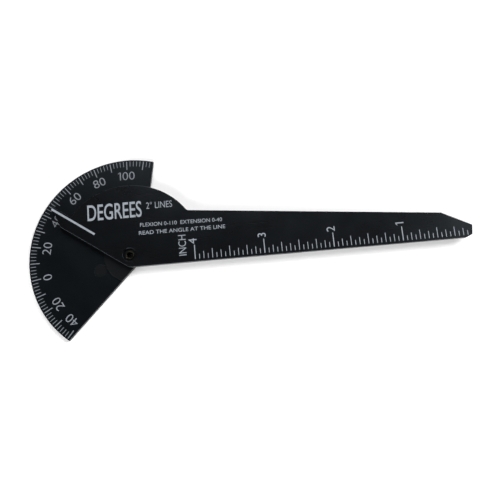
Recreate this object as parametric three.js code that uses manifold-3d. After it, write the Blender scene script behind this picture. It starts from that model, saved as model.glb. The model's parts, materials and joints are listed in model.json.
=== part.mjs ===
// Finger goniometer: a fan-shaped protractor blade and a ruler arm with a pointer, joined by one hollow
// eyelet. Millimetres, +Z up. The goniometer lies on its back, with the long straight edge of the ruler
// arm parallel to +X, and the origin is at the middle of its box, on the surface it lies on.
import * as THREE from "three";
import { mergeVertices } from "three/addons/utils/BufferGeometryUtils.js";
import Module from "manifold-3d";

const REST_READING = 45.0; // degrees between the two measuring edges as the goniometer lies
const POINTER_ANGLE = 144.8; // degrees from the ruler's direction round to the pointer line
const EDGE_OFFSET = 4.0; // distance of the fan's edges and of the pointer finger's edge from the pivot axis

// Protractor blade
const FAN_RADIUS = 37.25;
const FAN_SPAN = POINTER_ANGLE; // degrees between its two straight edges
const FAN_THICKNESS = 1.5;
const BOSS_RADIUS = 9.6; // the raised land that carries the ruler arm
const BOSS_HEIGHT = 0.4;
const CLINCH_RECESS_RADIUS = 3.6; // in the back, so that the eyelet stays below the face
const CLINCH_RECESS_DEPTH = 0.85;
const GATE_MARK_RADIUS = 2.3; // a shallow round dent left by moulding, beside the boss
const GATE_MARK_DEPTH = 0.06;
const GATE_MARK_REACH = 12.2; // from the pivot
const GATE_MARK_ANGLE = 157; // from the direction opposite to the measuring edge

// Ruler arm
const ARM_THICKNESS = 1.5;
const ARM_EDGE_OFFSET = 4.65; // distance of the measuring edge from the pivot axis
const HEAD_RADIUS = 26.5;
const TOP_EDGE_OFFSET = 17.1; // distance of the arm's upper straight edge from the pivot axis
const BLADE_TAPER = 5.8; // degrees between the arm's two long edges
const HEAD_FILLET = 1.6;
const SHOULDER_X = 115.2; // where the upper edge turns down to the tip
const TIP_TOP = [126.0, -0.1];
const TIP_BOTTOM = [125.5, -3.6];
const TIP_CHAMFER_X = 122.9;
const FINGER_REACH = 35.0; // pointer finger, measured along the pointer line from the pivot
const FINGER_HEEL = 27.8; // the same for the corner at its other side
const FINGER_MARGIN = 1.0; // plastic left beside the pointer line
const HEAD_RECESS_RADIUS = 2.5;
const HEAD_RECESS_DEPTH = 0.65;

// Pivot
const PIVOT_HOLE_RADIUS = 1.4;
const BARREL_RADIUS = 1.3;
const BARREL_BORE_RADIUS = 1.0;
const FLANGE_RADIUS = 1.7;
const FLANGE_HEIGHT = 0.5;
const CLINCH_RADIUS = 2.1;
const CLINCH_HEIGHT = 0.4;
const CLINCH_WASHER_RADIUS = 3.2;
const CLINCH_WASHER_THICKNESS = 0.3;
const FRICTION_WASHER_RADIUS = 3.4;
const FRICTION_WASHER_THICKNESS = 0.25;
const CONTACT_GAP = 0.05; // left between two faces that bear on each other

const ARC_SAGITTA = 0.002; // how far a chord may lie inside the arc that it stands for
const CUT_MARGIN = 1; // how far a cutting tool runs past the face that it opens

// Heights of the stack, from the surface that the goniometer lies on
const fanTop = FAN_THICKNESS;
const bossTop = fanTop + BOSS_HEIGHT;
const frictionWasherBottom = bossTop + CONTACT_GAP;
const armBottom = frictionWasherBottom + FRICTION_WASHER_THICKNESS + CONTACT_GAP;
const armTop = armBottom + ARM_THICKNESS;
const flangeBottom = armTop - HEAD_RECESS_DEPTH + CONTACT_GAP;
const clinchWasherBottom = CLINCH_RECESS_DEPTH - CONTACT_GAP - CLINCH_WASHER_THICKNESS;
const clinchTop = clinchWasherBottom - CONTACT_GAP;

const wasm = await Module();
wasm.setup();

const rad = THREE.MathUtils.degToRad;

// A point at a distance along a direction from the pivot, and at an offset to the left of it.
function alongRay(degrees, distance, offset = 0) {
  const c = Math.cos(rad(degrees));
  const s = Math.sin(rad(degrees));
  return new THREE.Vector2(distance * c - offset * s, distance * s + offset * c);
}

// Points of an arc from one angle to another, in degrees; a falling angle runs clockwise.
function arc(centre, radius, from, to) {
  const step = THREE.MathUtils.radToDeg(2 * Math.acos(1 - ARC_SAGITTA / radius));
  const count = Math.max(2, Math.ceil(Math.abs(to - from) / step));
  const points = [];
  for (let i = 0; i <= count; i += 1) {
    points.push(alongRay(from + ((to - from) * i) / count, radius).add(centre));
  }
  return points;
}

function angleOf(point) {
  return THREE.MathUtils.radToDeg(Math.atan2(point.y, point.x));
}

function plate(outline, bottom, top) {
  const geometry = new THREE.ExtrudeGeometry(new THREE.Shape(outline), {
    depth: top - bottom,
    bevelEnabled: false,
  });
  return geometry.translate(0, 0, bottom);
}

function disc(radius, bottom, top) {
  return plate(arc(new THREE.Vector2(), radius, 0, 360).slice(0, -1), bottom, top);
}

// A turned solid: profile points are [radius, height], listed anticlockwise with the axis on the left.
function turned(profile, likeRadius) {
  const segments = arc(new THREE.Vector2(), likeRadius, 0, 360).length - 1;
  const points = profile.map(([radius, height]) => new THREE.Vector2(radius, height));
  return new THREE.LatheGeometry(points.concat(points[0]), segments).rotateX(Math.PI / 2);
}

function toSolid(geometry) {
  const bare = geometry.clone();
  bare.deleteAttribute("normal");
  bare.deleteAttribute("uv");
  const merged = mergeVertices(bare, 1e-4);
  return new wasm.Manifold(
    new wasm.Mesh({
      numProp: 3,
      vertProperties: merged.attributes.position.array,
      triVerts: new Uint32Array(merged.index.array),
    }),
  );
}

function toGeometry(solid) {
  const mesh = solid.getMesh();
  const geometry = new THREE.BufferGeometry();
  geometry.setAttribute("position", new THREE.BufferAttribute(mesh.vertProperties, 3));
  geometry.setIndex(new THREE.BufferAttribute(mesh.triVerts, 1));
  geometry.computeVertexNormals();
  return geometry;
}

function part(name, solid, material) {
  const mesh = new THREE.Mesh(toGeometry(solid), new THREE.MeshStandardMaterial(material));
  mesh.name = name;
  return mesh;
}

const bluishBlackPlastic = { color: 0x14191f, roughness: 0.5, metalness: 0 };
const blackPlastic = { color: 0x1a1a1d, roughness: 0.5, metalness: 0 };
const agedBrass = { color: 0x8a6f45, roughness: 0.35, metalness: 1 };
const nickelSteel = { color: 0x9a9a96, roughness: 0.35, metalness: 1 };
const clearNylon = { color: 0xd8d6cc, roughness: 0.55, metalness: 0 };

// The fan in the frame of its own scale: its measuring edge runs from the pivot towards -X, as it does
// when the goniometer reads zero.
function fanOutline() {
  const sideAngle = 180 - FAN_SPAN;
  const edgeLength = Math.sqrt(FAN_RADIUS ** 2 - EDGE_OFFSET ** 2);
  const sideCorner = alongRay(sideAngle, edgeLength, -EDGE_OFFSET);
  const measuringCorner = alongRay(180, edgeLength, EDGE_OFFSET);
  return [
    ...arc(new THREE.Vector2(), EDGE_OFFSET, 270, sideAngle - 90 + 360),
    ...arc(new THREE.Vector2(), FAN_RADIUS, angleOf(sideCorner), angleOf(measuringCorner) + 360),
  ];
}

function protractorBlade() {
  const outline = fanOutline();
  const boss = toSolid(disc(BOSS_RADIUS, fanTop - CUT_MARGIN, bossTop));
  const pivotHole = toSolid(disc(PIVOT_HOLE_RADIUS, -CUT_MARGIN, bossTop + CUT_MARGIN));
  const clinchRecess = toSolid(disc(CLINCH_RECESS_RADIUS, -CUT_MARGIN, CLINCH_RECESS_DEPTH));
  const gateMark = toSolid(
    disc(GATE_MARK_RADIUS, fanTop - GATE_MARK_DEPTH, fanTop + CUT_MARGIN).translate(
      ...alongRay(GATE_MARK_ANGLE, GATE_MARK_REACH).toArray(),
      0,
    ),
  );
  const solid = toSolid(plate(outline, 0, fanTop))
    .subtract(gateMark)
    .add(boss.intersect(toSolid(plate(outline, 0, bossTop))))
    .subtract(pivotHole)
    .subtract(clinchRecess);
  return part("protractor_blade", solid, bluishBlackPlastic);
}

// The arm's outline, anticlockwise from the rounded end of its measuring edge under the pivot.
function armOutline() {
  const origin = new THREE.Vector2();
  const edgeX = (x) => (TOP_EDGE_OFFSET - x * Math.sin(rad(BLADE_TAPER))) / Math.cos(rad(BLADE_TAPER));
  const filletAlong = Math.sqrt(
    (HEAD_RADIUS + HEAD_FILLET) ** 2 - (TOP_EDGE_OFFSET + HEAD_FILLET) ** 2,
  );
  const filletCentre = alongRay(-BLADE_TAPER, filletAlong, TOP_EDGE_OFFSET + HEAD_FILLET);
  const headStart = angleOf(filletCentre);
  const fingerRoot = Math.sqrt(HEAD_RADIUS ** 2 - FINGER_MARGIN ** 2);
  const headEnd = angleOf(alongRay(POINTER_ANGLE, fingerRoot, -FINGER_MARGIN));
  const heelShift = (EDGE_OFFSET - ARM_EDGE_OFFSET) / Math.sin(rad(POINTER_ANGLE));
  const heelCentre = alongRay(POINTER_ANGLE, heelShift);
  return [
    new THREE.Vector2(TIP_CHAMFER_X, -ARM_EDGE_OFFSET),
    new THREE.Vector2(...TIP_BOTTOM),
    new THREE.Vector2(...TIP_TOP),
    new THREE.Vector2(SHOULDER_X, edgeX(SHOULDER_X)),
    ...arc(filletCentre, HEAD_FILLET, 270 - BLADE_TAPER, 180 + headStart),
    ...arc(origin, HEAD_RADIUS, headStart, headEnd).slice(1),
    alongRay(POINTER_ANGLE, FINGER_REACH, -FINGER_MARGIN),
    alongRay(POINTER_ANGLE, FINGER_HEEL, EDGE_OFFSET),
    ...arc(heelCentre, EDGE_OFFSET, POINTER_ANGLE + 90, 270),
  ];
}

function rulerArm() {
  const pivotHole = toSolid(disc(PIVOT_HOLE_RADIUS, armBottom - CUT_MARGIN, armTop + CUT_MARGIN));
  const recess = toSolid(disc(HEAD_RECESS_RADIUS, armTop - HEAD_RECESS_DEPTH, armTop + CUT_MARGIN));
  const solid = toSolid(plate(armOutline(), armBottom, armTop)).subtract(pivotHole).subtract(recess);
  return part("ruler_arm", solid, blackPlastic);
}

function pivotEyelet() {
  const flangeTop = flangeBottom + FLANGE_HEIGHT;
  const clinchBottom = clinchTop - CLINCH_HEIGHT;
  const profile = [
    [BARREL_BORE_RADIUS, clinchBottom],
    [CLINCH_RADIUS, clinchBottom],
    [CLINCH_RADIUS, clinchTop],
    [BARREL_RADIUS, clinchTop],
    [BARREL_RADIUS, flangeBottom],
    [FLANGE_RADIUS, flangeBottom],
    [FLANGE_RADIUS, flangeTop],
    [BARREL_BORE_RADIUS, flangeTop],
  ];
  return part("pivot_eyelet", toSolid(turned(profile, FLANGE_RADIUS)), agedBrass);
}

function washer(name, radius, bottom, thickness, material) {
  const hole = toSolid(disc(PIVOT_HOLE_RADIUS, bottom - CUT_MARGIN, bottom + thickness + CUT_MARGIN));
  const solid = toSolid(disc(radius, bottom, bottom + thickness)).subtract(hole);
  return part(name, solid, material);
}

const protractor = new THREE.Group();
protractor.add(
  protractorBlade(),
  pivotEyelet(),
  washer(
    "clinch_washer",
    CLINCH_WASHER_RADIUS,
    clinchWasherBottom,
    CLINCH_WASHER_THICKNESS,
    nickelSteel,
  ),
  washer(
    "friction_washer",
    FRICTION_WASHER_RADIUS,
    frictionWasherBottom,
    FRICTION_WASHER_THICKNESS,
    clearNylon,
  ),
);
protractor.rotation.z = rad(REST_READING);

const linkage = new THREE.Group();
linkage.add(protractor, rulerArm());

// The box is taken from the vertices themselves, so that the turned fan doesn't widen it.
const box = new THREE.Box3().setFromObject(linkage, true);
linkage.position.set(-(box.min.x + box.max.x) / 2, -(box.min.y + box.max.y) / 2, -box.min.z);

const goniometer = new THREE.Group();
goniometer.name = "finger_goniometer";
goniometer.add(linkage);

export default goniometer;
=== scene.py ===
"""Finger goniometer: the looks. Two moulded black blades with printed scales and one rolled eyelet,
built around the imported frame. Metres, in the frame of the CAD model."""

import json
import math

import bmesh
import bpy
from mathutils import Matrix, Vector


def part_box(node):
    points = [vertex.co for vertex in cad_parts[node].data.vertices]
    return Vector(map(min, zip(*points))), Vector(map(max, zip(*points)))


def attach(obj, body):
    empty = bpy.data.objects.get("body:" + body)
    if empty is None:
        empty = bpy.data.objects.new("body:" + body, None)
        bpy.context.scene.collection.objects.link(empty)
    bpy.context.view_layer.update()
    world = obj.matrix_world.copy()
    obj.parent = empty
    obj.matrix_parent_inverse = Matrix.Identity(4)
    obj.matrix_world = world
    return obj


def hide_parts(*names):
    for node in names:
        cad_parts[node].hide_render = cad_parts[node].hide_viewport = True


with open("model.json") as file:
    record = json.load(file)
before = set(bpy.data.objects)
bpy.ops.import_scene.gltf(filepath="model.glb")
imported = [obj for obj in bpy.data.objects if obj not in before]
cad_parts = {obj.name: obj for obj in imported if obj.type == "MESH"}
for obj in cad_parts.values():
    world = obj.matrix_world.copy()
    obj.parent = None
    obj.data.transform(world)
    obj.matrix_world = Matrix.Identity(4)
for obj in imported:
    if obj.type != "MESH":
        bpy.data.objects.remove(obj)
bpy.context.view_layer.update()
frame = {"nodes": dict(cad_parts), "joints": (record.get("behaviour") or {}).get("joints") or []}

MM = 0.001
INCH = 25.4 * MM


# --- What the frame gives: the pivot, how the blades stand at rest, and where their faces lie -------

joint = frame["joints"][0]
pivot = Vector(joint["pos_m"])
fan_low, fan_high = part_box("protractor_blade")
arm_low, arm_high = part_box("ruler_arm")
eyelet_low, eyelet_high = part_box("pivot_eyelet")
fan_radius = pivot.x - fan_low.x
arm_edge_offset = pivot.y - arm_low.y

TOP_READING = 110  # what the pointer line reads at the joint's lower limit
POINTER_ANGLE = 144.8  # degrees from the ruler's direction round to the pointer line
rest_reading = TOP_READING + joint["range_deg"][0]
zero_tick = POINTER_ANGLE + rest_reading

# Printing stands a little above the plastic, and is sunk into it so that no gap shows. The arm's face
# is lowered by as much, so that its printing stays inside the model's height.
INK_PROUD = 0.02 * MM
INK_SUNK = 0.02 * MM
LAND_HEIGHT = 0.4 * MM
fan_face = fan_high.z - LAND_HEIGHT
arm_face = arm_high.z - INK_PROUD


# --- Camera ----------------------------------------------------------------------------------------

AIM_X, AIM_Y = 43.86 * MM, -2.12 * MM  # the middle of the view, from the pivot
AIM_HEIGHT = 3.0 * MM
VIEW_DISTANCE = 219.4 * MM
VIEW_AZIMUTH, VIEW_ELEVATION, VIEW_ROLL = -3.63, 77.41, -1.52  # degrees
LENS = 43.22
CLIP_NEAR, CLIP_FAR = 0.01, 20


def direction(azimuth, elevation):
    """Unit vector from the object towards a viewer; azimuth 0 is on the -Y side."""
    a, e = math.radians(azimuth), math.radians(elevation)
    return Vector((math.sin(a) * math.cos(e), -math.cos(a) * math.cos(e), math.sin(e)))


def make_camera():
    data = bpy.data.cameras.new("camera")
    data.lens = LENS
    data.clip_start, data.clip_end = CLIP_NEAR, CLIP_FAR
    camera = bpy.data.objects.new("camera", data)
    bpy.context.scene.collection.objects.link(camera)
    back = direction(VIEW_AZIMUTH, VIEW_ELEVATION)
    look_at = Vector((pivot.x + AIM_X, pivot.y + AIM_Y, AIM_HEIGHT))
    camera.location = look_at + back * VIEW_DISTANCE
    upright = (-back).to_track_quat("-Z", "Y").to_matrix()
    roll = Matrix.Rotation(math.radians(VIEW_ROLL), 3, "Z")
    camera.rotation_euler = (upright @ roll).to_euler()
    bpy.context.scene.camera = camera


# --- Light and floor -------------------------------------------------------------------------------

# The lights stand low and all round, so that the floor is bright and the flat tops reflect a dark
# ceiling. Each has a name, azimuth, elevation, width, and the W/m2 it puts on a surface facing it.
SOFTBOXES = (
    ("back_light", 183, 45, 0.5, 1.39),
    ("tip_light", 114, 33.5, 0.6, 3.8),
    ("front_light", -10, 21, 0.8, 3.6),
    ("left_light", -60, 20, 0.8, 2.9),
)
LIGHT_DISTANCE = 1.0
CEILING_COLOUR = (0.85, 0.93, 1.0, 1)
CEILING_STRENGTH = 0.012
BACKDROP_COLOUR = (1, 1, 1, 1)
FLOOR_COLOUR = (0.97, 0.97, 0.97, 1)
FLOOR_ROUGHNESS = 0.9
FLOOR_SPECULAR = 0.1
FLOOR_HALF = 0.6  # half the side of the square floor


def softbox(name, azimuth, elevation, size, light):
    """A round soft light."""
    data = bpy.data.lights.new(name, "AREA")
    data.shape = "DISK"
    data.size = size
    data.energy = light * math.pi * LIGHT_DISTANCE**2
    lamp = bpy.data.objects.new(name, data)
    bpy.context.scene.collection.objects.link(lamp)
    towards = direction(azimuth, elevation)
    lamp.location = towards * LIGHT_DISTANCE
    lamp.rotation_euler = (-towards).to_track_quat("-Z", "Y").to_euler()


def make_world():
    """A dim ceiling that lights the object, and a white backdrop that only the camera sees."""
    world = bpy.data.worlds.new("studio")
    world.use_nodes = True
    tree = world.node_tree
    ceiling = tree.nodes["Background"]
    ceiling.inputs["Color"].default_value = CEILING_COLOUR
    ceiling.inputs["Strength"].default_value = CEILING_STRENGTH
    backdrop = tree.nodes.new("ShaderNodeBackground")
    backdrop.inputs["Color"].default_value = BACKDROP_COLOUR
    seen = tree.nodes.new("ShaderNodeLightPath")
    choice = tree.nodes.new("ShaderNodeMixShader")
    tree.links.new(seen.outputs["Is Camera Ray"], choice.inputs["Fac"])
    tree.links.new(ceiling.outputs["Background"], choice.inputs[1])
    tree.links.new(backdrop.outputs["Background"], choice.inputs[2])
    tree.links.new(choice.outputs["Shader"], tree.nodes["World Output"].inputs["Surface"])
    bpy.context.scene.world = world
    bpy.context.scene.view_settings.view_transform = "Standard"


def make_floor():
    mesh = bpy.data.meshes.new("studio_floor")
    half = FLOOR_HALF
    corners = [(-half, -half, 0), (half, -half, 0), (half, half, 0), (-half, half, 0)]
    mesh.from_pydata(corners, [], [(0, 1, 2, 3)])
    floor = bpy.data.objects.new("studio_floor", mesh)
    bpy.context.scene.collection.objects.link(floor)
    paint = bpy.data.materials.new("floor_paint")
    paint.use_nodes = True
    shader = paint.node_tree.nodes["Principled BSDF"]
    shader.inputs["Base Color"].default_value = FLOOR_COLOUR
    shader.inputs["Roughness"].default_value = FLOOR_ROUGHNESS
    shader.inputs["Specular IOR Level"].default_value = FLOOR_SPECULAR
    mesh.materials.append(paint)


# --- Materials -------------------------------------------------------------------------------------

SHEEN = (0.78, 0.89, 1.0)  # the black plastic's cool shine
FLOW_GAIN = 1.5  # how much paler the plastic is at its flow marks
SCRATCHES = ((0.5 * MM, 8, 0.70), (0.6 * MM, -37, 0.71))  # spacing, direction, how rare
SCRATCH_SOFTNESS = 0.05
SCRATCH_STRETCH = (0.03, 1, 1)
SCRATCH_WEAR = 0.6  # how far a scratch is worn, where a rubbed rim is 1
POLISH_RANGE = 0.02  # how far the gloss wanders from its mean
WORN_GLOSS = 0.05  # how much smoother wear makes it
FLOW_SIZE, RUB_SIZE, POLISH_SIZE, GRAIN_SIZE = 22 * MM, 3 * MM, 9 * MM, 0.16 * MM
GRAIN_DEPTH, SCRATCH_DEPTH = 0.02 * MM, 0.01 * MM

FADED_INK = 0.45  # the share of its colour that ink keeps where it is thin
INK_PATCH, INK_SPECK, INK_SMEAR, INK_GRAIN = 1.4 * MM, 0.22 * MM, 0.5 * MM, 0.12 * MM
INK_ROUGHNESS = (0.45, 0.65)
STAIN_SIZE, PIT_SIZE = 0.9 * MM, 0.1 * MM
METAL_ROUGHNESS = (0.24, 0.5)  # clean and stained
DIRTY_NYLON = 0.7  # the share of its colour that nylon keeps where it is dirty
DIRT_SIZE, SCUFF_SIZE = 1.2 * MM, 0.4 * MM
NYLON_ROUGHNESS = (0.4, 0.55)
UNEVENNESS = 0.01 * MM  # how deep the ink's grain and the metal's pits are

MIX_COLOURS, MIX_RESULT = (6, 7), 2  # the Mix node's colour sockets


class Nodes:
    """A material's node tree, with its Principled shader and short ways to add and link nodes."""

    def __init__(self, name):
        self.material = bpy.data.materials.new(name)
        self.material.use_nodes = True
        self.tree = self.material.node_tree
        self.shader = self.tree.nodes["Principled BSDF"]
        self.place = self.tree.nodes.new("ShaderNodeTexCoord").outputs["Object"]

    def add(self, kind, **settings):
        node = self.tree.nodes.new(kind)
        for key, value in settings.items():
            setattr(node, key, value)
        return node

    def link(self, source, target):
        self.tree.links.new(source, target)

    def noise(self, grain, detail=2.0, stretch=(1, 1, 1), turn=0.0):
        """Noise whose features are about grain metres across."""
        mapping = self.add("ShaderNodeMapping")
        mapping.inputs["Scale"].default_value = stretch
        mapping.inputs["Rotation"].default_value = (0, 0, math.radians(turn))
        self.link(self.place, mapping.inputs["Vector"])
        noise = self.add("ShaderNodeTexNoise")
        noise.inputs["Scale"].default_value = 1 / grain
        noise.inputs["Detail"].default_value = detail
        self.link(mapping.outputs["Vector"], noise.inputs["Vector"])
        return noise.outputs["Fac"]

    def ramp(self, source, low, high, from_value=0.0, to_value=1.0):
        """source between low and high, carried to the range from_value to to_value."""
        node = self.add("ShaderNodeMapRange")
        limits = {"From Min": low, "From Max": high, "To Min": from_value, "To Max": to_value}
        for key, value in limits.items():
            node.inputs[key].default_value = value
        self.link(source, node.inputs["Value"])
        return node.outputs["Result"]

    def mix(self, factor, a, b):
        """Colour between a and b; each is a colour or a socket."""
        node = self.add("ShaderNodeMix", data_type="RGBA")
        self.link(factor, node.inputs["Factor"])
        for socket, value in zip(MIX_COLOURS, (a, b)):
            if isinstance(value, tuple):
                node.inputs[socket].default_value = (*value, 1)
            else:
                self.link(value, node.inputs[socket])
        return node.outputs[MIX_RESULT]

    def math(self, operation, a, b):
        """a and b combined; each is a number or a socket."""
        node = self.add("ShaderNodeMath", operation=operation)
        for socket, value in zip(node.inputs, (a, b)):
            if isinstance(value, (int, float)):
                socket.default_value = value
            else:
                self.link(value, socket)
        return node.outputs["Value"]

    def bump(self, height, strength, distance, below=None):
        """The normal of a bumpy surface, on top of the bumps below if there are any."""
        node = self.add("ShaderNodeBump")
        node.inputs["Strength"].default_value = strength
        node.inputs["Distance"].default_value = distance
        self.link(height, node.inputs["Height"])
        if below is not None:
            self.link(below, node.inputs["Normal"])
        return node.outputs["Normal"]


def black_plastic(name, colour, gate_tone_and_painted_light_colour, worn_colour, roughness, specular):
    """Moulded black plastic: a fine matt grain, faint flow marks, hairline scratches and rubbed rims.

    Faces marked paler take a lighter colour: painted light on the land round the pivot, against the
    shade of the arm's head, and the gate mark's own paler floor. Faces with the attribute rim are
    worn in places."""
    n = Nodes(name)
    flow = n.ramp(n.noise(FLOW_SIZE, 3.0), 0.35, 0.65)
    body = n.mix(flow, colour, tuple(FLOW_GAIN * c for c in colour))
    # Painted light: faces so marked take a paler colour, which lifts the land by the pivot out of the
    # arm head's shade; the gate mark's floor is paler too.
    gate_tone_and_painted_light = n.add("ShaderNodeAttribute", attribute_name="gate_tone_and_painted_light").outputs["Fac"]
    body = n.mix(gate_tone_and_painted_light, body, gate_tone_and_painted_light_colour)
    hairlines = [
        n.ramp(n.noise(grain, 1.0, SCRATCH_STRETCH, turn), rarity, rarity + SCRATCH_SOFTNESS)
        for grain, turn, rarity in SCRATCHES
    ]
    scratches = n.math("MAXIMUM", *hairlines)
    rim = n.add("ShaderNodeAttribute", attribute_name="rim").outputs["Fac"]
    rubbed = n.math("MULTIPLY", rim, n.ramp(n.noise(RUB_SIZE, 3.0), 0.45, 0.65))
    wear = n.math("MAXIMUM", rubbed, n.math("MULTIPLY", scratches, SCRATCH_WEAR))
    n.link(n.mix(wear, body, worn_colour), n.shader.inputs["Base Color"])
    smoothest, roughest = roughness - POLISH_RANGE, roughness + POLISH_RANGE
    polish = n.ramp(n.noise(POLISH_SIZE, 4.0), 0.3, 0.7, smoothest, roughest)
    worn_smooth = n.math("MULTIPLY", wear, WORN_GLOSS)
    n.link(n.math("SUBTRACT", polish, worn_smooth), n.shader.inputs["Roughness"])
    grain = n.bump(n.noise(GRAIN_SIZE), strength=0.25, distance=GRAIN_DEPTH)
    depth = n.ramp(scratches, 0.0, 1.0, 1.0, 0.0)
    cut = n.bump(depth, strength=0.3, distance=SCRATCH_DEPTH, below=grain)
    n.link(cut, n.shader.inputs["Normal"])
    n.shader.inputs["Specular IOR Level"].default_value = specular
    n.shader.inputs["Specular Tint"].default_value = (*SHEEN, 1)
    return n.material


def ink(name, colour):
    """Screen ink: a slightly uneven film that has lost a few specks."""
    n = Nodes(name)
    thin = n.ramp(n.noise(INK_PATCH, 3.0), 0.35, 0.7, to_value=0.35)
    specks = n.ramp(n.noise(INK_SPECK), 0.64, 0.72, to_value=0.55)
    lost = n.math("MAXIMUM", thin, specks)
    shade = n.mix(lost, colour, tuple(FADED_INK * c for c in colour))
    n.link(shade, n.shader.inputs["Base Color"])
    smears = n.ramp(n.noise(INK_SMEAR), 0.3, 0.7, *INK_ROUGHNESS)
    n.link(smears, n.shader.inputs["Roughness"])
    film = n.bump(n.noise(INK_GRAIN), strength=0.3, distance=UNEVENNESS)
    n.link(film, n.shader.inputs["Normal"])
    n.shader.inputs["Specular IOR Level"].default_value = 0.3
    return n.material


def metal(name, colour, stain, stain_share):
    """Plated or bare metal with a dull stain over part of it, and faintly uneven."""
    n = Nodes(name)
    blotches = n.noise(STAIN_SIZE, 4.0)
    patches = n.ramp(blotches, 0.5 - stain_share / 2, 0.75 - stain_share / 2)
    n.link(n.mix(patches, colour, stain), n.shader.inputs["Base Color"])
    n.shader.inputs["Metallic"].default_value = 1.0
    n.link(n.ramp(patches, 0.0, 1.0, *METAL_ROUGHNESS), n.shader.inputs["Roughness"])
    pitting = n.bump(n.noise(PIT_SIZE, 3.0), strength=0.2, distance=UNEVENNESS)
    n.link(pitting, n.shader.inputs["Normal"])
    return n.material


def nylon(name, colour):
    """Natural nylon, a little translucent and slightly dirty."""
    n = Nodes(name)
    dirt = n.ramp(n.noise(DIRT_SIZE, 3.0), 0.4, 0.7)
    shade = n.mix(dirt, colour, tuple(DIRTY_NYLON * c for c in colour))
    n.link(shade, n.shader.inputs["Base Color"])
    scuffs = n.ramp(n.noise(SCUFF_SIZE), 0.3, 0.7, *NYLON_ROUGHNESS)
    n.link(scuffs, n.shader.inputs["Roughness"])
    n.shader.inputs["Subsurface Weight"].default_value = 0.15
    n.shader.inputs["Subsurface Scale"].default_value = 0.5 * MM
    return n.material


# --- What every piece uses -------------------------------------------------------------------------


def ray(angle, distance, offset=0.0):
    """A point of the plan at a distance along a direction from the pivot, offset to its left."""
    c, s = math.cos(math.radians(angle)), math.sin(math.radians(angle))
    return Vector((pivot.x + distance * c - offset * s, pivot.y + distance * s + offset * c))


def new_piece(name, bm, material, body, replaces=None):
    mesh = bpy.data.meshes.new(name)
    bm.to_mesh(mesh)
    bm.free()
    mesh.materials.append(material)
    piece = bpy.data.objects.new(name, mesh)
    bpy.context.scene.collection.objects.link(piece)
    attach(piece, body)
    if replaces:
        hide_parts(replaces)
    return piece


# --- The two blades --------------------------------------------------------------------------------

WELD = 0.0005 * MM  # CAD points nearer than this are one point
SLIVER = 0.002 * MM  # and nearer than this after the rounding
SAME_LEVEL = 0.001 * MM  # heights closer than this are the same
FLAT_ANGLE = math.radians(0.3)  # facets that meet at less than this are one face
ROUNDED_ANGLE = math.radians(25)  # edges sharper than this are rounded
CREASE_ANGLE = math.radians(50)  # edges still sharper than this are shaded as creases
FACES_UP = 0.9  # the least height of the normal of a face that looks up
ROUNDING_SEGMENTS = 4
EDGE_ROUNDING = 0.12 * MM
RECESS_ROUNDING, AROUND_RECESS = 0.1 * MM, 3 * MM
LAND_ROUNDING, AROUND_LAND = 0.08 * MM, 12 * MM
GATE_MARK_ROUNDING, AROUND_GATE_MARK = 0.03 * MM, 15 * MM
GATE_MARK_DEPTH = 0.06 * MM


def blade(name, node, material, body, rounding, gate_tone_and_painted_light_test=None, lowered=None):
    """A CAD blade with its facets joined into whole faces and its edges rounded.

    rounding lists (radius, test) pairs: a sharp edge takes the first radius whose test its middle
    meets. The paler-face test takes the height of a face that looks up and picks the faces painted
    paler:
    the land by the pivot, as painted light against the arm head's shade, and the gate mark's floor.
    lowered is the height of the top face and its new height."""
    bm = bmesh.new()
    bm.from_mesh(frame["nodes"][node].data)
    bmesh.ops.remove_doubles(bm, verts=bm.verts, dist=WELD)
    bmesh.ops.dissolve_limit(bm, angle_limit=FLAT_ANGLE, verts=bm.verts, edges=bm.edges)
    if lowered:
        for vert in bm.verts:
            if abs(vert.co.z - lowered[0]) < SAME_LEVEL:
                vert.co.z = lowered[1]
    rim = bm.faces.layers.float.new("rim")
    # Faces to be painted paler: the land round the pivot, as painted light against the arm head's
    # shade, and the floor of the gate mark.
    gate_tone_and_painted_light = bm.faces.layers.float.new("gate_tone_and_painted_light")
    if gate_tone_and_painted_light_test:
        for face in bm.faces:
            if face.normal.z > FACES_UP and gate_tone_and_painted_light_test(face.verts[0].co.z):
                face[gate_tone_and_painted_light] = 1.0
    for radius, test in rounding:
        sharp = [
            edge
            for edge in bm.edges
            if len(edge.link_faces) == 2
            and edge.is_convex
            and edge.calc_face_angle() > ROUNDED_ANGLE
            and test((edge.verts[0].co + edge.verts[1].co) / 2)
        ]
        made = bmesh.ops.bevel(
            bm,
            geom=sharp,
            offset=radius,
            segments=ROUNDING_SEGMENTS,
            profile=0.5,
            affect="EDGES",
            clamp_overlap=True,
        )
        for face in made["faces"]:
            face[rim] = 1.0
    bmesh.ops.remove_doubles(bm, verts=bm.verts, dist=SLIVER)
    for face in bm.faces:
        face.smooth = True
    piece = new_piece(name, bm, material, body, replaces=node)
    piece.data.set_sharp_from_angle(angle=CREASE_ANGLE)
    flatten = piece.modifiers.new("flat_faces_stay_flat", "WEIGHTED_NORMAL")
    flatten.weight = 100
    flatten.keep_sharp = True


def anywhere(point):
    return True


def near_pivot(radius):
    """A test for points within a radius of the pivot axis."""
    return lambda point: (point - pivot).xy.length < radius


def in_gate_mark(point):
    """Whether a point near the pivot is as high as the fan's face or the shallow gate mark in it."""
    lowest, highest = fan_face - 1.5 * GATE_MARK_DEPTH, fan_face + GATE_MARK_DEPTH
    return near_pivot(AROUND_GATE_MARK)(point) and lowest < point.z < highest


def off_fan_face(height):
    return abs(height - fan_face) > 0.5 * GATE_MARK_DEPTH


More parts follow.
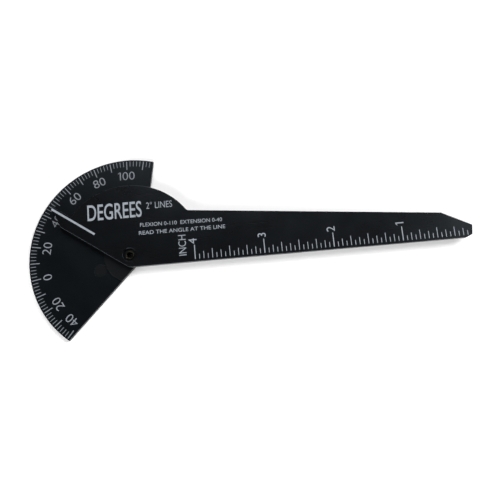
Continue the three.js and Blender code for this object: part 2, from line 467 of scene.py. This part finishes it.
def fan_moulding(material):
    """The fan; the land around its pivot and the floor of its gate mark are painted paler, the land
    as painted light against the shade of the arm's head.
    """
    rounding = [
        (GATE_MARK_ROUNDING, in_gate_mark),
        (LAND_ROUNDING, near_pivot(AROUND_LAND)),
        (EDGE_ROUNDING, anywhere),
    ]
    blade(
        "fan_moulding",
        "protractor_blade",
        material,
        "protractor",
        rounding,
        # painted light on the land by the pivot, and the gate mark's paler floor
        gate_tone_and_painted_light_test=off_fan_face,
    )


def arm_moulding(material):
    """The arm, with finer edges at the recess in its head."""
    rounding = [(RECESS_ROUNDING, near_pivot(AROUND_RECESS)), (EDGE_ROUNDING, anywhere)]
    blade(
        "arm_moulding",
        "ruler_arm",
        material,
        "arm",
        rounding,
        lowered=(arm_high.z, arm_face),
    )


# --- The eyelet and its washers (millimetres) ------------------------------------------------------

TURNED_SEGMENTS = 96  # round the axis
CORNER_STEPS = 6  # in each rounded corner
BORE_RADIUS = 1.0
BARREL_RADIUS = 1.3
FLANGE_RADIUS, FLANGE_HEIGHT = 1.7, 0.5
ROLL_RADIUS, ROLL_HEIGHT = 2.1, 0.4
HOLE_RADIUS = 1.4
CLINCH_ROUNDING, FRICTION_ROUNDING = 0.06, 0.05


def rounded(corners):
    """A closed loop of (radius, height) points from corners (radius, height, rounding)."""
    loop = []
    for i, (r, z, rounding) in enumerate(corners):
        here = Vector((r, z))
        before = Vector(corners[i - 1][:2])
        after = Vector(corners[(i + 1) % len(corners)][:2])
        start = here + (before - here).normalized() * rounding
        end = here + (after - here).normalized() * rounding
        middle = start + end - here
        for k in range(CORNER_STEPS + 1):
            t = math.pi / 2 * k / CORNER_STEPS
            loop.append(middle + (start - middle) * math.cos(t) + (end - middle) * math.sin(t))
    return [point * MM for point in loop]


def turned(name, corners, material, node):
    """A turned piece about the pivot axis that stands for a CAD node of the protractor."""
    bm = bmesh.new()
    loop = rounded(corners)
    rings = []
    for i in range(TURNED_SEGMENTS):
        angle = 360 * i / TURNED_SEGMENTS
        rings.append([bm.verts.new((*ray(angle, point.x), point.y)) for point in loop])
    for i in range(TURNED_SEGMENTS):
        a, b = rings[i - 1], rings[i]
        for k in range(len(loop)):
            bm.faces.new((a[k - 1], b[k - 1], b[k], a[k]))
    bmesh.ops.recalc_face_normals(bm, faces=bm.faces)
    for face in bm.faces:
        face.smooth = True
    new_piece(name, bm, material, "protractor", replaces=node)


def eyelet(material):
    """One hollow barrel with a domed flange above and the rolled-over end below."""
    bottom, top = eyelet_low.z / MM, eyelet_high.z / MM
    corners = [
        (BORE_RADIUS, bottom, 0.34),
        (ROLL_RADIUS, bottom, 0.24),
        (ROLL_RADIUS, bottom + ROLL_HEIGHT, 0.12),
        (BARREL_RADIUS, bottom + ROLL_HEIGHT, 0.04),
        (BARREL_RADIUS, top - FLANGE_HEIGHT, 0.04),
        (FLANGE_RADIUS, top - FLANGE_HEIGHT, 0.08),
        (FLANGE_RADIUS, top, 0.32),
        (BORE_RADIUS, top, 0.36),
    ]
    turned("eyelet", corners, material, "pivot_eyelet")


def washer(name, node, rounding, material):
    """A flat ring as thick and as wide as its CAD node."""
    low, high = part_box(node)
    bottom, top, radius = low.z / MM, high.z / MM, (high.x - low.x) / 2 / MM
    corners = [
        (HOLE_RADIUS, bottom, rounding),
        (radius, bottom, rounding),
        (radius, top, rounding),
        (HOLE_RADIUS, top, rounding),
    ]
    turned(name, corners, material, node)


# --- Printing --------------------------------------------------------------------------------------

FLAG_LENGTH = 0.9 * MM
FLAG_INSET, FLAG_SLOPE = -60, 215  # degrees from a 1's baseline: into the 1, and down its flag
AFTER_ONE = -10  # kerning that draws the next digit towards a 1
LETTER_CURVES = 5  # points in each curve of a letter
LETTER_DEPTH = 0.1  # before the letters are scaled to the ink's thickness
PRINT_WELD = 0.001 * MM


def prism(bm, outline, bottom, top):
    """Adds a closed prism over an anticlockwise outline."""
    low = [bm.verts.new((p.x, p.y, bottom)) for p in outline]
    high = [bm.verts.new((p.x, p.y, top)) for p in outline]
    bm.faces.new(high)
    bm.faces.new(low[::-1])
    for i in range(len(outline)):
        j = (i + 1) % len(outline)
        bm.faces.new((low[i], low[j], high[j], high[i]))


def stroke(bm, start, end, width, face):
    """Adds a printed line from one point to another on the face at height face."""
    side = (end - start).normalized().orthogonal() * (width / 2)
    outline = [start - side, end - side, end + side, start + side]
    prism(bm, outline, face - INK_SUNK, face + INK_PROUD)


def lettering(bm, text, centre, turn, height, face, squeeze=1.0, weight=0.0):
    """Adds printed text, height tall, centred on a point and turned by turn degrees.

    Returns where the top left corner of its box lies."""
    curve = bpy.data.curves.new("lettering", "FONT")
    curve.body = text
    curve.offset = weight
    if text.startswith("1"):
        curve.body_format[0].kerning = AFTER_ONE
    curve.extrude = LETTER_DEPTH
    curve.resolution_u = LETTER_CURVES
    letters = bpy.data.objects.new("lettering", curve)
    bpy.context.scene.collection.objects.link(letters)
    bpy.context.view_layer.update()
    shown = letters.evaluated_get(bpy.context.evaluated_depsgraph_get())
    mesh = bpy.data.meshes.new_from_object(shown)
    bpy.data.objects.remove(letters)
    bpy.data.curves.remove(curve)
    low = [min(v.co[i] for v in mesh.vertices) for i in range(3)]
    high = [max(v.co[i] for v in mesh.vertices) for i in range(3)]
    middle = Vector([(a + b) / 2 for a, b in zip(low, high)])
    scale = height / (high[1] - low[1])
    depth = (INK_PROUD + INK_SUNK) / (high[2] - low[2])
    mesh.transform(
        Matrix.Translation((centre.x, centre.y, face + (INK_PROUD - INK_SUNK) / 2))
        @ Matrix.Rotation(math.radians(turn), 4, "Z")
        @ Matrix.Diagonal((scale * squeeze, scale, depth, 1))
        @ Matrix.Translation(-middle)
    )
    bm.from_mesh(mesh)
    bpy.data.meshes.remove(mesh)
    half_width = scale * squeeze * (high[0] - low[0]) / 2
    top_left = Vector((-half_width, height / 2))
    return centre.to_2d() + Matrix.Rotation(math.radians(turn), 2) @ top_left


def flag(bm, corner, turn, width, face):
    """The short slanting stroke at the head of a printed 1 whose top left corner is given."""
    start = corner + ray(turn + FLAG_INSET, width / 2) - pivot.xy
    stroke(bm, start, start + ray(turn + FLAG_SLOPE, FLAG_LENGTH) - pivot.xy, width, face)


def finish_print(name, bm, material, body):
    bmesh.ops.remove_doubles(bm, verts=bm.verts, dist=PRINT_WELD)
    bmesh.ops.dissolve_degenerate(bm, dist=PRINT_WELD, edges=bm.edges)
    bmesh.ops.recalc_face_normals(bm, faces=bm.faces)
    new_piece(name, bm, material, body)


# --- The fan's scale -------------------------------------------------------------------------------

SCALE_FROM, SCALE_TO, SCALE_STEP = -40, 114, 2
LONG_STEP = 10
TICK_MARGIN = 0.4 * MM
LONG_TICK, SHORT_TICK = 3.4 * MM, 2.1 * MM
LONG_WIDTH, SHORT_WIDTH = 0.3 * MM, 0.19 * MM
TOP_NUMBER, NUMBER_STEP = 100, 20
NUMBER_HEIGHT = 3.2 * MM
NUMBER_RADIUS = 31.05 * MM
NUMBER_SQUEEZE, NUMBER_WEIGHT = 1.06, -0.008
LAST_NUMBER_SHIFT = 5.1  # degrees that the last number is set in from the fan's edge


def fan_ticks(material):
    bm = bmesh.new()
    outer = fan_radius - TICK_MARGIN
    for reading in range(SCALE_FROM, SCALE_TO + 1, SCALE_STEP):
        long = reading % LONG_STEP == 0
        length, width = (LONG_TICK, LONG_WIDTH) if long else (SHORT_TICK, SHORT_WIDTH)
        angle = zero_tick - reading
        stroke(bm, ray(angle, outer), ray(angle, outer - length), width, fan_face)
    finish_print("fan_scale_ticks", bm, material, "protractor")


def fan_numbers(material):
    bm = bmesh.new()
    for reading in range(SCALE_FROM, TOP_NUMBER + 1, NUMBER_STEP):
        angle = zero_tick - reading - (LAST_NUMBER_SHIFT if reading == SCALE_FROM else 0)
        turn = angle - 90
        corner = lettering(
            bm,
            str(abs(reading)),
            ray(angle, NUMBER_RADIUS),
            turn,
            NUMBER_HEIGHT,
            fan_face,
            NUMBER_SQUEEZE,
            NUMBER_WEIGHT,
        )
        if reading == TOP_NUMBER:
            flag(bm, corner, turn, SHORT_WIDTH, fan_face)
    finish_print("fan_scale_numbers", bm, material, "protractor")


# --- The arm's printing ----------------------------------------------------------------------------

RULER_ZERO = 125.4 * MM  # from the pivot axis
RULER_MARGIN = 0.85 * MM
RULER_INCHES = 4
RULER_PARTS = 16  # in an inch
RULER_TICKS = {16: 5.3 * MM, 8: 3.8 * MM, 4: 3.5 * MM, 2: 2.7 * MM, 1: 1.8 * MM}  # lengths
RULER_WIDTH, INCH_WIDTH = 0.24 * MM, 0.34 * MM
RULER_TURN = 90
RULER_NUMBER_HEIGHT, RULER_NUMBER_WEIGHT = 3.0 * MM, -0.004
RULER_NUMBER_SHIFT, RULER_NUMBER_ACROSS = -0.6, 2.95  # millimetres
UNIT_AT, UNIT_HEIGHT, UNIT_SQUEEZE, UNIT_WEIGHT = (19.4, 1.75), 2.8 * MM, 0.82, -0.006
POINTER_FROM, POINTER_TO, POINTER_WIDTH = 15.2 * MM, 34.3 * MM, 0.75 * MM

# Plain words about the scale: what it measures and how it is read. Each line has its text, its
# centre in millimetres, the degrees it is turned by, its height, and how wide and bold it is.
LEGEND = (
    ("DEGREES", (-4.8, 16.95), 0, 6.2 * MM, 0.585, 0.008),
    ("2° LINES", (11.8, 18.0), 0, 2.6 * MM, 0.75, -0.006),
    ("FLEXION 0-110  EXTENSION 0-40", (19.5, 10.5), -1, 1.45 * MM, 1.0, 0.0),
    ("READ THE ANGLE AT THE LINE", (19.7, 7.6), -0.5, 1.45 * MM, 1.1, 0.0),
)


def arm_point(x, y):
    """A point of the arm's plan, from the pivot axis along its measuring edge and across it."""
    return Vector((pivot.x + x * MM, pivot.y + y * MM))


def ruler_ticks(material):
    bm = bmesh.new()
    start = RULER_MARGIN - arm_edge_offset
    for part in range(1, RULER_PARTS * RULER_INCHES + 1):
        step = max(s for s in RULER_TICKS if part % s == 0)
        foot = pivot.xy + Vector((RULER_ZERO - part * INCH / RULER_PARTS, start))
        width = INCH_WIDTH if step == RULER_PARTS else RULER_WIDTH
        stroke(bm, foot, foot + Vector((0, RULER_TICKS[step])), width, arm_face)
    finish_print("arm_ruler_ticks", bm, material, "arm")


def ruler_numbers(material):
    bm = bmesh.new()
    for inches in range(1, RULER_INCHES + 1):
        along = (RULER_ZERO - inches * INCH) / MM + RULER_NUMBER_SHIFT
        corner = lettering(
            bm,
            str(inches),
            arm_point(along, RULER_NUMBER_ACROSS),
            RULER_TURN,
            RULER_NUMBER_HEIGHT,
            arm_face,
            weight=RULER_NUMBER_WEIGHT,
        )
        if inches == 1:
            flag(bm, corner, RULER_TURN, RULER_WIDTH, arm_face)
    unit_at = arm_point(*UNIT_AT)
    lettering(bm, "INCH", unit_at, RULER_TURN, UNIT_HEIGHT, arm_face, UNIT_SQUEEZE, UNIT_WEIGHT)
    finish_print("arm_ruler_numbers", bm, material, "arm")


def pointer_line(material):
    bm = bmesh.new()
    start, end = ray(POINTER_ANGLE, POINTER_FROM), ray(POINTER_ANGLE, POINTER_TO)
    stroke(bm, start, end, POINTER_WIDTH, arm_face)
    finish_print("arm_pointer_line", bm, material, "arm")


def legend(material):
    bm = bmesh.new()
    for text, centre, turn, height, squeeze, weight in LEGEND:
        lettering(bm, text, arm_point(*centre), turn, height, arm_face, squeeze, weight)
    finish_print("arm_legend", bm, material, "arm")


# --- Everything is made ----------------------------------------------------------------------------

make_camera()
for light in SOFTBOXES:
    softbox(*light)
make_world()
make_floor()

fan_plastic = black_plastic(
    "fan_black_plastic",
    colour=(0.0002, 0.0006, 0.0010),
    # paler colour for the land, painted light against the arm head's shade, and for the gate mark
    gate_tone_and_painted_light_colour=(0.0024, 0.0028, 0.0028),
    worn_colour=(0.003, 0.0035, 0.004),
    roughness=0.373,
    specular=0.29,
)
arm_plastic = black_plastic(
    "arm_black_plastic",
    colour=(0.0003, 0.0004, 0.0006),
    gate_tone_and_painted_light_colour=(0.0024, 0.0024, 0.0024),
    worn_colour=(0.003, 0.0032, 0.0035),
    roughness=0.29,
    specular=0.46,
)
fan_ink = ink("fan_screen_ink", (0.185, 0.203, 0.227))
arm_ink = ink("arm_screen_ink", (0.25, 0.277, 0.311))
aged_brass = metal("aged_brass", (0.048, 0.046, 0.034), (0.012, 0.012, 0.009), stain_share=0.6)
nickel_steel = metal("nickel_steel", (0.42, 0.42, 0.40), (0.33, 0.32, 0.29), stain_share=0.4)
clear_nylon = nylon("clear_nylon", (0.30, 0.29, 0.26))

fan_moulding(fan_plastic)
arm_moulding(arm_plastic)
eyelet(aged_brass)
washer("clinch_washer_turned", "clinch_washer", CLINCH_ROUNDING, nickel_steel)
washer("friction_washer_turned", "friction_washer", FRICTION_ROUNDING, clear_nylon)
fan_ticks(fan_ink)
fan_numbers(fan_ink)
ruler_ticks(arm_ink)
ruler_numbers(arm_ink)
pointer_line(arm_ink)
legend(arm_ink)
